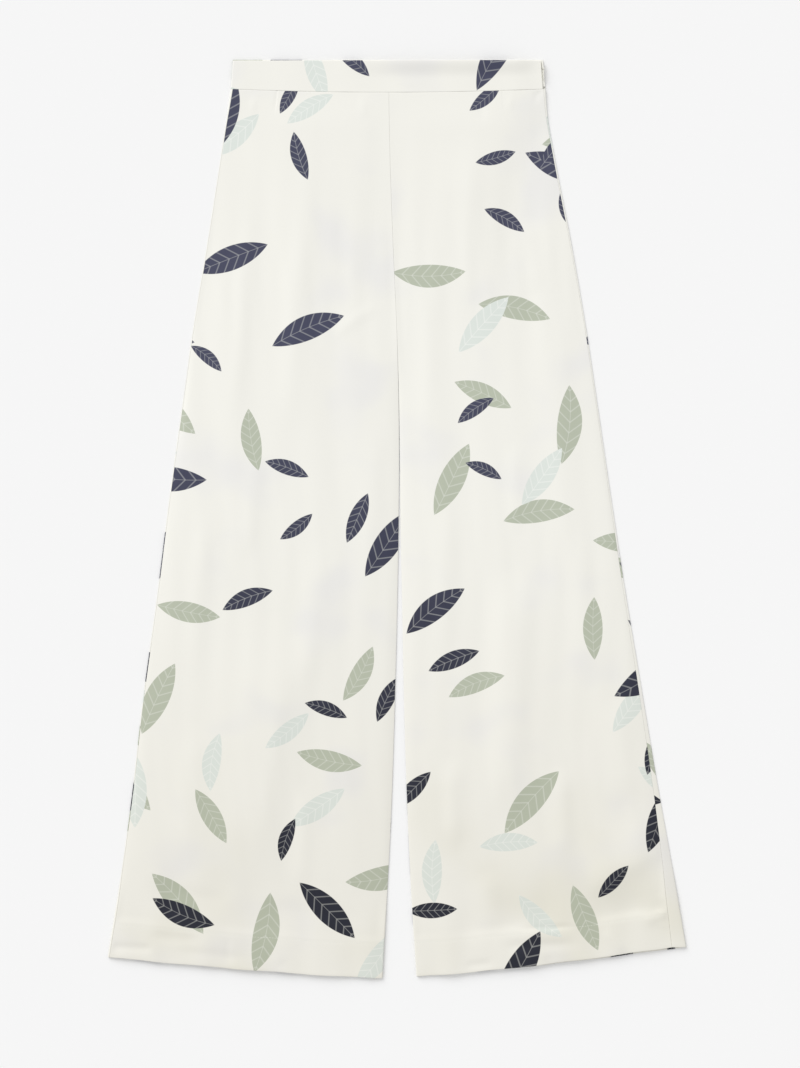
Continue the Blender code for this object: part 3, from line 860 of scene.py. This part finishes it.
@dataclass(frozen=True)
class PrintedSatin:
    """Ivory satin with a scatter of pointed leaves printed in navy, sage and mint, with painted shade towards
    the hems and painted sheen on the navy towards the waist.
    """

    ivory: Colour = (0.848, 0.838, 0.782)
    lilac: Colour = (0.782, 0.775, 0.770)  # the faint clouds in the ivory
    warm_shade: Colour = (0.740, 0.722, 0.615)  # painted warm shade on the ivory towards the hems
    vein: Colour = (0.880, 0.885, 0.850)
    mint: Colour = (0.700, 0.745, 0.700)
    sage: Colour = (0.460, 0.495, 0.395)
    navy: Colour = (0.006, 0.008, 0.020)
    # the navy where painted sheen lightens it most, towards the waist
    navy_sheen: Colour = (0.058, 0.062, 0.112)
    hem_shade_tint: Colour = (0.935, 0.925, 0.905)  # painted shade: the cloth at the hem, as a share of that at the waist
    warm_shade_from: Point = (-0.16, 0.40)  # the y below which the painted warm shade grows, and over what length
    hem_shade_from: Point = (0.10, 0.62)  # the same for the painted shade that darkens it towards the hems
    navy_sheen_from: Point = (-0.42, 0.62)  # the same for the navy's painted sheen, which makes it lighter upwards
    print_edge: float = 0.0005  # width over which a leaf's outline softens
    roughness: float = 0.50
    grain: float = 0.00003  # height of the weave
    unevenness: float = 0.0002

    def layers(self) -> tuple[Leaves, ...]:
        """The scatters of leaves, the lowest first."""
        return (
            Leaves(3.0, 0.105, 0.35, 0.32, self.sage, 0.35),
            Leaves(5.0, 0.094, 1.20, 0.32, self.mint, 0.60),
            Leaves(8.0, 0.118, 0.75, 0.34, self.navy, 0.30),
            Leaves(21.0, 0.070, 1.41, 0.18, self.navy, 0.30),
        )

    def material(self, name: str) -> bpy.types.Material:
        """Makes the satin.

        Args:
            name: the material's name.

        Returns:
            The material, printed by each piece's own flat cut.
        """
        desk = NodeDesk(name)
        cloth, place = desk.cut(), desk.place()
        down = desk.split(place)[1]
        cloud = ((desk.noise(cloth, 9.0) - 0.52) * 5).eased() * 0.62
        body = desk.blend(cloud, self.ivory, self.lilac)
        # painted warm shade: patches that grow stronger towards the hems
        low = ((self.warm_shade_from[0] - down) / self.warm_shade_from[1]).eased()
        warm_shade_mask = ((desk.noise(place, 6.0) - 0.42) * 3).eased() * low * 0.8
        body = desk.blend(warm_shade_mask, body, self.warm_shade)
        mottle = (desk.noise(cloth, 60.0, 3.0) - 0.5) * 0.25
        # painted sheen: the navy grows lighter towards the waist; the mottle on it is random
        high = ((down - self.navy_sheen_from[0]) / self.navy_sheen_from[1]).eased()
        sheened_ink = desk.blend(high * 0.8 + mottle, self.navy, self.navy_sheen)
        colour = body
        for leaves in self.layers():
            inside, veins = leaves.coverage(desk, cloth)
            tone = sheened_ink if leaves.colour == self.navy else leaves.colour
            tone = desk.blend(veins, tone, self.vein)
            colour = desk.blend((inside / self.print_edge).clamped(), colour, tone)
        # painted shade: every colour darkens towards the hems
        hem_shade = ((self.hem_shade_from[0] - down) / self.hem_shade_from[1]).eased()
        colour = desk.vector("MULTIPLY", colour, desk.blend(hem_shade, (1.0, 1.0, 1.0), self.hem_shade_tint))
        u, v, _ = desk.split(cloth)
        floats = desk.noise(desk.join(u * 2600.0, v * 420.0, 0.0), 1.0, 1.0)
        soft = desk.noise(desk.join(u * 34.0, v * 7.0, 0.0), 1.0, 2.0)
        height = floats * self.grain + soft * self.unevenness
        return desk.finish({
            "Base Color": colour,
            "Roughness": self.roughness + 0.10 * floats,
            "Sheen Weight": 0.05,
            "Sheen Roughness": 0.45,
            "Specular IOR Level": 0.40,
            "Normal": desk.bump(height),
        })


@dataclass(frozen=True)
class WovenTape:
    """Woven herringbone tape."""

    colour: Colour = (0.74, 0.73, 0.66)
    shade: Colour = (0.60, 0.59, 0.52)

    def material(self, name: str) -> bpy.types.Material:
        """Makes the tape's material."""
        desk = NodeDesk(name)
        u, v, _ = desk.split(desk.cut())
        zigzag = abs((u * 900.0).sin()) * 2.0
        weave = ((v * 9000.0 + zigzag).sin() * 0.5 + 0.5).clamped()
        return desk.finish({
            "Base Color": desk.blend(weave, self.shade, self.colour),
            "Roughness": 0.85 - 0.1 * weave,
            "Normal": desk.bump(weave * 0.00005),
        })


@dataclass(frozen=True)
class Thread:
    """Twisted sewing thread."""

    colour: Colour = (0.84, 0.85, 0.78)
    shade: Colour = (0.66, 0.67, 0.60)

    def material(self, name: str) -> bpy.types.Material:
        """Makes the thread's material."""
        desk = NodeDesk(name)
        x, y, z = desk.split(desk.place())
        twist = ((x * 9000.0 + y * 9000.0 + z * 9000.0).sin() * 0.5 + 0.5).clamped()
        return desk.finish({
            "Base Color": desk.blend(twist, self.shade, self.colour),
            "Roughness": 0.62 + 0.1 * twist,
            "Normal": desk.bump(twist * 0.00003),
        })


@dataclass(frozen=True)
class EnamelledMetal:
    """Zinc that is dipped in ivory enamel, a little worn at its high spots."""

    enamel: Colour = (0.80, 0.79, 0.72)
    worn: Colour = (0.62, 0.60, 0.55)

    def material(self, name: str) -> bpy.types.Material:
        """Makes the enamel's material."""
        desk = NodeDesk(name)
        place = desk.place()
        patches = ((desk.noise(place, 900.0, 4.0) - 0.58) * 8).clamped()
        return desk.finish({
            "Base Color": desk.blend(patches, self.enamel, self.worn),
            "Roughness": 0.30 + 0.25 * patches,
            "Metallic": 0.6 * patches,
            "Normal": desk.bump(desk.noise(place, 1500.0) * 0.00004),
        })


@dataclass(frozen=True)
class StudioPaper:
    """Pale seamless paper."""

    colour: Colour = (0.886, 0.886, 0.886)

    def material(self, name: str) -> bpy.types.Material:
        """Makes the paper's material."""
        desk = NodeDesk(name)
        return desk.finish({"Base Color": (*self.colour, 1.0), "Roughness": 0.95, "Specular IOR Level": 0.1})


# --- Pieces ---------------------------------------------------------------------------------------------


# Where each piece is cut from the printed cloth: legs side by side, fronts beyond backs, bands last.
LEGS_CUT_AT = {
    (Face.BACK, Leg.RIGHT): (-0.10, 0.0),
    (Face.BACK, Leg.LEFT): (0.10, 0.0),
    (Face.FRONT, Leg.RIGHT): (-0.10, 1.2),
    (Face.FRONT, Leg.LEFT): (0.10, 1.2),
}
BANDS_CUT_AT = {Face.BACK: (0.0, 1.3), Face.FRONT: (0.0, 1.4)}

DART_SPREAD = np.array([-0.0090, -0.0055, -0.0035, -0.0017, 0.0, 0.0017, 0.0035, 0.0055, 0.0090])


@dataclass(frozen=True)
class Dart:
    """A dart that is sewn down from the waist seam: a short groove that runs out in the cloth."""

    across: float  # its place at the waist, from the inner edge, 0, to the side seam, 1
    length: float
    depth: float
    half_width: float = 0.0009

    def sink(self, across: Array, share: Array, width: Array, leg_length: float) -> Array:
        """How far the dart's stitching pulls the cloth in."""
        down = share * leg_length / self.length
        aside = (across - self.across) * width
        return self.depth * np.exp(-((aside / self.half_width) ** 2)) * ease((1 - down) / 0.5)


@dataclass
class LegPanel:
    """A leg panel: its cut, its lay, and its hem's stitching."""

    form: Form
    leg: Leg
    face: Face
    dart: Dart
    columns: int
    body_rows: int

    @property
    def name(self) -> str:
        """The frame node that the panel stands for."""
        return f"{self.face.value}_leg_{self.leg.value}"

    @property
    def resting_on(self) -> tuple[str, ...]:
        """The pieces that the panel lies on."""
        return (f"back_leg_{self.leg.value}_panel",) if self.face is Face.FRONT else ()

    def steps(self) -> Array:
        """Shares of the width for the columns between the edges, closer together at the dart."""
        even = np.linspace(0, 1, self.columns + 2)[1:-1]
        away = np.abs(even - self.dart.across) > DART_SPREAD[-1]
        return np.sort(np.concatenate([even[away], self.dart.across + DART_SPREAD]))

    def front_lay(self) -> Lay:
        """The front panel, which lies on the back and turns down into its seams."""
        form, leg, rows = self.form, self.leg, self.form.rows(self.body_rows)
        inner = form.edges(leg, rows.share)[0]
        width = np.abs(form.seam_x(leg, rows.share) - inner) - form.closed
        inner_radius = np.maximum(form.inner_radius(leg, rows.share) - rows.hem_inward, 0.0001)
        near_in, near_drop, near_cut = edge_columns(inner_radius, form.satin / 2 + rows.hem_inward)
        far_in, far_drop, far_cut = edge_columns(form.side_radius(rows.share), form.satin / 2)
        middle = mix(near_in[:, -1:], width - far_in[:, -1:], self.steps())
        off = np.concatenate([near_in, middle, (width - far_in)[:, ::-1]], axis=1)
        drop = np.concatenate([near_drop, 0 * middle, far_drop[:, ::-1]], axis=1)
        cut_off = np.concatenate([near_cut, middle, (width - far_cut)[:, ::-1]], axis=1)
        across = np.clip(off / width, 0.0, 1.0)
        x = inner + leg.outwards * off
        top_x = inner[0] + leg.outwards * across * width[0]
        line_y = form.length_y(leg, across, top_x, rows.share)
        z = form.front_top(leg, x, line_y, rows.share) - form.satin / 2 - rows.inward - drop
        z = z - self.dart.sink(across, rows.share, width, form.length)
        cut_x = inner + leg.outwards * cut_off
        return Lay(x, line_y - rows.past + rows.shift, z, cut_x, line_y - rows.cut)

    def back_lay(self) -> Lay:
        """The back panel, flat on the surface, then round the side edge and onto the front."""
        form, leg, rows = self.form, self.leg, self.form.rows(self.body_rows)
        inner, _, roll = form.edges(leg, rows.share)
        centre = form.wrap_centre(leg, rows.share)
        flat_width = np.abs(centre - inner)
        radius = (form.edge_top(leg, 1.0, rows.share) - form.satin) / 2
        turn = np.maximum(radius - rows.inward, 0.0001)
        inner_radius = np.maximum(form.inner_radius(leg, rows.share) - rows.hem_inward, 0.0001)
        near_in, near_drop, near_cut = edge_columns(inner_radius, form.satin / 2 + rows.hem_inward)
        middle = mix(near_in[:, -1:], flat_width, self.steps())
        off = np.concatenate([near_in, middle], axis=1)
        across = np.clip(off / flat_width, 0.0, 1.0)
        flat_x = inner + leg.outwards * off
        flat_y = form.length_y(leg, across, inner[0] + leg.outwards * across * flat_width[0], rows.share)
        near_edge = ease(across / 0.12) * ease((1 - across) / 0.12) * ease(rows.share / 0.03)
        creases = sum(crease.rise(flat_x, flat_y) for crease in BACK_CREASES[leg])
        lift = near_edge * ease((0.93 - rows.share) / 0.05) * creases
        lift = lift + form.hem_groove(rows.share)
        lift = lift + self.dart.sink(across, rows.share, flat_width, form.length)
        flat_z = form.satin / 2 + rows.inward + lift + np.concatenate([near_drop, 0 * middle], axis=1)
        flat_cut = np.concatenate([near_cut, middle], axis=1)

        angle = np.linspace(0, math.pi, 13)
        wrap_x = centre + leg.outwards * turn * np.sin(angle)
        raised = form.pillow(leg, wrap_x, rows.share) * (1 - np.cos(angle)) / 2
        wrap_z = form.satin / 2 + radius - turn * np.cos(angle) + raised
        wrap_cut = flat_width + radius * angle

        groove = form.side_radius(rows.share)
        inset, drop = curl(groove * math.pi / 2 * CURL_STEPS[::-1], groove)
        strip_end = roll - form.satin / 2 - groove
        to_curl = np.array([0.2, 0.4, 0.6, 0.8])
        ran = np.concatenate([strip_end * to_curl, roll - form.satin / 2 - inset], axis=1)
        strip_x = centre - leg.outwards * ran
        strip_drop = np.concatenate([0 * strip_end * to_curl, drop], axis=1)
        strip_z = form.satin / 2 + radius + turn + form.pillow(leg, strip_x, rows.share) - strip_drop
        strip_cut = flat_width + radius * math.pi + ran

        edge_y = form.length_y(leg, np.ones_like(centre), centre[0] + 0 * centre, rows.share)
        edge_y = np.repeat(edge_y, wrap_x.shape[1] + strip_x.shape[1], axis=1)
        x = np.concatenate([flat_x, wrap_x, strip_x], axis=1)
        y = np.concatenate([flat_y, edge_y], axis=1)
        z = np.concatenate([flat_z, wrap_z, strip_z], axis=1)
        cut = np.concatenate([flat_cut, wrap_cut, strip_cut], axis=1)
        return Lay(x, y - rows.past + rows.shift, z, inner + leg.outwards * cut, y - rows.cut)

    def stitching(self, lay: Lay, thread: bpy.types.Material) -> bpy.types.Object:
        """The lockstitches that hold the hem's turn-up.

        Args:
            lay: the panel's lay.
            thread: the thread's material.

        Returns:
            One piece with every stitch.
        """
        form = self.form
        rows = form.rows(self.body_rows)
        shares = rows.share[:, 0]
        at_stitches = 1 - (form.turn_up - form.stitch_inset) / form.length
        down = int(np.argmax(shares >= at_stitches))
        line = np.stack([lay.x[down], lay.y[down], lay.z[down]], axis=-1)
        outside = 1 if self.face is Face.FRONT else -1
        return StitchLine(line, outside * form.satin / 2).build(
            f"hem_stitching_{self.face.value}_{self.leg.value}", thread
        )

    def build(self, satin: bpy.types.Material, thread: bpy.types.Material) -> None:
        """Makes the panel and its stitching, and fits them to the frame.

        Args:
            satin: the panel's material.
            thread: the stitching's material.
        """
        lay = self.front_lay() if self.face is Face.FRONT else self.back_lay()
        panel = lay.shell(f"{self.name}_panel", self.form.satin, LEGS_CUT_AT[self.face, self.leg], satin)
        stitching = self.stitching(lay, thread)
        for piece in (panel, stitching):
            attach(piece, GARMENT)
        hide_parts(self.name)
        lay.cut_size()
        lay.cut_area()
        report(panel, lay)
        report(stitching)


@dataclass
class StitchLine:
    """A row of lockstitches along a line on the cloth's middle surface."""

    line: Array
    outside: float  # height of the cloth's outside above the line
    length: float = 0.0029
    gap: float = 0.0004
    radius: float = 0.00016
    margin: float = 0.0020

    def build(self, name: str, thread: bpy.types.Material) -> bpy.types.Object:
        """Makes the stitches as one piece.

        Args:
            name: the piece's name.
            thread: its material.

        Returns:
            The piece.
        """
        steps = np.linalg.norm(np.diff(self.line, axis=0), axis=1)
        ran = np.concatenate([[0.0], np.cumsum(steps)])
        form = bmesh.new()
        pitch = self.length + self.gap
        count = int((ran[-1] - 2 * self.margin) / pitch)
        for number in range(count):
            start = self.margin + number * pitch
            ends = [np.array([np.interp(at, ran, self.line[:, axis]) for axis in range(3)])
                    for at in (start, start + self.length)]
            self.add_stitch(form, *ends)
        return add_piece(name, form, thread)

    def add_stitch(self, form: bmesh.types.BMesh, start: Array, end: Array) -> None:
        """Adds one stitch: a thread that rises out of the cloth and sinks back into it.

        Args:
            form: the shape that it is added to.
            start: where it leaves the cloth.
            end: where it goes back.
        """
        made = bmesh.ops.create_icosphere(form, subdivisions=2, radius=1.0)["verts"]
        middle, half = (start + end) / 2, (end - start) / 2
        reach = float(np.linalg.norm(half))
        ahead = half / reach
        aside = np.array([-ahead[1], ahead[0], 0.0])
        for vertex in made:
            run, across, up = vertex.co
            blunt = math.copysign(abs(run) ** 0.7, run)
            sunk = self.radius * 0.8 * blunt**4
            place = middle + ahead * blunt * reach + aside * across * self.radius
            lift = self.outside + math.copysign(1, self.outside) * (self.radius * up * 0.8 - sunk)
            vertex.co = (place[0], place[1], place[2] + lift)


@dataclass
class Waistband:
    """Half of the waistband: one strip, folded over at its top edge and sewn down inside."""

    form: Form
    face: Face
    left_x: Point
    top: float
    columns: int = 150
    flare: float = 0.0027  # how far the front's top edge stands up before it reaches the zip
    flare_x: Point = (-0.075, 0.015)  # where along the band that grows
    flare_end: float = 0.030  # how near the band's end it has gone again
    flare_up: float = 0.42  # share of the band's height where it begins
    waver: float = 0.0002

    def lay(self) -> Lay:
        """The band's middle surface, up its outside, over the top and down inside."""
        form = self.form
        fold = form.band_fold
        arc = form.waist_groove * math.pi / 2
        height = self.top - form.waist_y
        groove = QUARTERS * arc / height
        out = np.concatenate([groove, np.linspace(0.05, 1.0, 26)])
        angle = FOLD_ANGLES
        inside = np.linspace(1.0, 0.06, 14)
        inset, sunk = curl(out * height, form.waist_groove)
        up = np.concatenate([inset / height, np.ones(7), inside])[:, None]
        over = np.concatenate([0 * out, fold * np.sin(angle), 0 * inside])[:, None]
        inward = np.concatenate([sunk, fold * (1 - np.cos(angle)), 2 * fold + 0 * inside])[:, None]
        path = np.concatenate([
            out * height, height + fold * angle, height * (2 - inside) + math.pi * fold
        ])[:, None]

        right = mix(*form.band_right_x, up)
        width = mix(*self.left_x, up) - right
        deep = np.concatenate([0 * out, inward[len(out):, 0]])[:, None]
        stack = float(form.band_underside(np.array(form.band_right_x[0]))) + 2 * fold + form.satin
        end_radius = np.maximum((stack - form.satin - form.seam) / 2 - deep, 0.0001)
        near_in, near_drop, near_cut = edge_columns(end_radius, form.satin / 2 + deep)
        far_in, far_drop, far_cut = edge_columns(fold + 0 * width, form.satin / 2)
        steps = np.linspace(0, 1, self.columns + 2)[1:-1]
        middle = mix(near_in[:, -1:], width - far_in[:, -1:], steps)
        off = np.concatenate([near_in, middle, (width - far_in)[:, ::-1]], axis=1)
        cut_off = np.concatenate([near_cut, middle, (width - far_cut)[:, ::-1]], axis=1)
        right_drop = np.concatenate([near_drop, 0 * middle, 0 * far_in], axis=1)
        left_drop = np.concatenate([0 * near_in, 0 * middle, far_drop[:, ::-1]], axis=1)
        x = right + off
        side = 1 - inward / fold  # 1 on the outer layer and -1 on the inner one
        swing = side * (fold - left_drop) - right_drop
        if self.face is Face.FRONT:
            centre = form.band_middle(x)
            towards_zip = ease_over(x, self.flare_x) * ease((width - off) / self.flare_end)
            centre = centre + self.flare * towards_zip * ease_over(up, (self.flare_up, 1.0)) ** 1.3
            off_ends = ease(off / 0.02) * ease((width - off) / 0.02)
            centre = centre + self.waver * np.sin(x * 95 + 0.8) * off_ends
            z = centre + swing
        else:
            z = form.band_wall / 2 - swing
        bottom = form.waist_seam_y(x) + (form.closed + form.satin) / 2
        y = mix(bottom, self.top - form.satin / 2 - fold, up) + over
        return Lay(x, y, z, right + cut_off, form.waist_y + path + 0 * x)

    def build(self, satin: bpy.types.Material) -> None:
        """Makes the band and fits it to the frame.

        Args:
            satin: its material.
        """
        lay = self.lay()
        name = f"waistband_{self.face.value}_strip"
        band = lay.shell(name, self.form.satin, BANDS_CUT_AT[self.face], satin)
        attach(band, GARMENT)
        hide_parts(f"waistband_{self.face.value}")
        lay.cut_size()
        lay.cut_area()
        report(band, lay)


@dataclass
class SideZip:
    """The closed concealed zip in the wearer's left side seam."""

    form: Form
    tape_wall: float = 0.00035
    clearance: float = 0.00015  # between the tape and the back panel
    width: float = 0.012
    inset: float = 0.0005
    top_y: float = 0.5145
    foot_y: float = 0.3250
    step: float = 0.018
    rows: int = 90
    tooth_pitch: float = 0.0015
    tooth_half: tuple[float, float, float] = (0.0008, 0.00045, 0.00034)
    tooth_shift: float = 0.00028  # of each tooth to its own side of the coil
    coil_inset: float = 0.0016
    coil_lift: float = 0.00005
    round_edge: float = 0.00012

    def edge(self, y: Array) -> Array:
        """The x of the seam that the zip lies beside."""
        form = self.form
        waist = form.waist_seam_y(np.array(form.band_front_left_x[0]))
        share = np.clip((waist - y) / form.length, 0.0, 1.0)
        on_band = mix(*form.band_front_left_x, (y - waist) / (form.band_top - waist))
        return np.where(y > waist, on_band, form.seam_x(Leg.LEFT, share))

    def height(self, y: Array) -> Array:
        """Height of the tape's middle, low over the leg and higher over the band."""
        form = self.form
        waist = form.waist_seam_y(np.array(form.band_front_left_x[0]))
        climb = ease((y - waist + self.step) / (self.step - form.seam))
        over_leg = form.satin + self.clearance + self.tape_wall / 2
        over_band = (form.band_wall + form.satin + self.tape_wall) / 2 + form.band_fold + self.clearance
        return mix(over_leg, over_band, climb)

    def tape(self, material: bpy.types.Material) -> bpy.types.Object:
        """The two tapes, which the closed coil holds edge to edge.

        Args:
            material: the tape's finish.

        Returns:
            The tapes as one strip.
        """
        y = np.linspace(self.top_y, self.foot_y, self.rows)[:, None]
        off = np.linspace(0, 1, 9)
        x = self.edge(y) - self.inset - self.width * off
        flat = np.broadcast_to(self.width * off, x.shape)
        lay = Lay(x, y + 0 * x, self.height(y) + 0 * x, flat, y + 0 * x)
        tape = lay.shell("zip_tapes", self.tape_wall, (0.0, 0.0), material)
        return tape

    def coil(self, material: bpy.types.Material) -> bpy.types.Object:
        """The teeth of the closed coil, by turns from the left and from the right.

        Args:
            material: the coil's finish.

        Returns:
            All the teeth as one piece.
        """
        form = bmesh.new()
        count = int((self.top_y - self.foot_y) / self.tooth_pitch * 2)
        for number in range(1, count):
            y = self.top_y - number * self.tooth_pitch / 2
            x = float(self.edge(np.array(y))) - self.coil_inset
            x += self.tooth_shift if number % 2 else -self.tooth_shift
            made = bmesh.ops.create_icosphere(form, subdivisions=1, radius=1.0)["verts"]
            bmesh.ops.scale(form, verts=made, vec=self.tooth_half)
            z = float(self.height(np.array(y))) + self.coil_lift
            bmesh.ops.translate(form, verts=made, vec=(x, y, z))
        return add_piece("zip_coil", form, material)

    def metal_piece(self, node: str, name: str, material: bpy.types.Material) -> bpy.types.Object:
        """A metal part of the zip: its solid with rounded edges.

        Args:
            node: the frame node that has its shape.
            name: the new piece's name.
            material: its finish.

        Returns:
            The piece.
        """
        form = bmesh.new()
        form.from_mesh(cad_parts[node].data)
        bmesh.ops.remove_doubles(form, verts=form.verts, dist=0.000002)
        bmesh.ops.dissolve_limit(form, angle_limit=math.radians(1), verts=form.verts, edges=form.edges)
        piece = add_piece(name, form, material)
        rounding = piece.modifiers.new("rounding", "BEVEL")
        rounding.width = self.round_edge
        rounding.segments = 3
        rounding.limit_method = "ANGLE"
        rounding.angle_limit = math.radians(50)
        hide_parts(node)
        return piece

    def build(self, tape: bpy.types.Material, coil: bpy.types.Material, metal: bpy.types.Material) -> None:
        """Makes the zip and fits it to the frame.

        Args:
            tape: the tapes' material.
            coil: the coil's material.
            metal: the slider's and the pull's material.
        """
        tapes = self.tape(tape)
        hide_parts("side_zip")
        teeth = self.coil(coil)
        slider = self.metal_piece("zip_slider", "slider_body", metal)
        pull = self.metal_piece("zip_pull", "pull_tab_drop", metal)
        slots = {tapes: "zip_tape", teeth: "zip_tape", slider: "zip_metal", pull: "zip_metal"}
        for piece, slot in slots.items():
            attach(piece, PULL_TAB if piece is pull else GARMENT)
            report(piece)


# --- Studio ---------------------------------------------------------------------------------------------


@dataclass
class Studio:
    """A pale floor, plain soft light from beyond the waist, and a camera straight above."""

    floor_size: float = 40.0
    floor_drop: float = 0.0003
    lens: float = 100.0
    sensor: float = 36.0
    view_height: float = 1.226  # length of floor that the picture shows
    view_centre: Point = (0.0029, -0.0172)
    key_from: tuple[float, float, float] = (-0.50, 0.70, 0.53)
    key_strength: float = 1.775
    key_softness: float = 40.0
    sky: float = 0.745

    def build(self) -> None:
        """Sets up the floor, the lights and the camera."""
        form = bmesh.new()
        bmesh.ops.create_grid(form, x_segments=1, y_segments=1, size=self.floor_size / 2)
        bmesh.ops.translate(form, verts=form.verts, vec=(0, 0, -self.floor_drop))
        add_piece("studio_floor", form, StudioPaper().material("studio_paper"))

        key = bpy.data.lights.new("window_side", "SUN")
        key.energy = self.key_strength
        key.angle = math.radians(self.key_softness)
        lamp = bpy.data.objects.new("window_side", key)
        bpy.context.scene.collection.objects.link(lamp)
        towards = -Vector(self.key_from)
        lamp.rotation_euler = towards.to_track_quat("-Z", "Y").to_euler()

        world = bpy.data.worlds.new("studio")
        world.use_nodes = True
        world.node_tree.nodes["Background"].inputs["Color"].default_value = (1.0, 1.0, 1.0, 1.0)
        world.node_tree.nodes["Background"].inputs["Strength"].default_value = self.sky
        bpy.context.scene.world = world
        bpy.context.scene.view_settings.view_transform = "Standard"

        camera = bpy.data.cameras.new("overhead")
        camera.lens, camera.sensor_width = self.lens, self.sensor
        camera.clip_end = 50.0
        stand = bpy.data.objects.new("overhead", camera)
        stand.location = (*self.view_centre, self.view_height * self.lens / self.sensor)
        bpy.context.scene.collection.objects.link(stand)
        bpy.context.scene.camera = stand


def main() -> None:
    """Builds the trousers over their frame, and the studio round them."""
    logging.basicConfig(level=logging.INFO, format="%(name)s: %(message)s")
    form = Form()
    satin = PrintedSatin().material("printed_satin")
    thread = Thread().material("sewing_thread")
    back_dart = Dart(across=0.52, length=0.095, depth=0.0003)
    panels = (
        LegPanel(form, Leg.RIGHT, Face.BACK, back_dart, columns=56, body_rows=230),
        LegPanel(form, Leg.LEFT, Face.BACK, back_dart, columns=56, body_rows=230),
        LegPanel(form, Leg.RIGHT, Face.FRONT, Dart(0.7155, 0.028, 0.0004), columns=84, body_rows=320),
        LegPanel(form, Leg.LEFT, Face.FRONT, Dart(0.7310, 0.026, 0.00015), columns=84, body_rows=320),
    )
    for panel in panels:
        panel.build(satin, thread)
    Waistband(form, Face.BACK, form.band_back_left_x, form.band_top).build(satin)
    Waistband(form, Face.FRONT, form.band_front_left_x, form.band_top - form.back_proud).build(satin)
    SideZip(form).build(
        WovenTape().material("zip_tape"),
        Thread(colour=(0.86, 0.85, 0.78)).material("zip_coil"),
        EnamelledMetal().material("ivory_enamel"),
    )
    Studio().build()


if __name__ == "__main__":
    main()
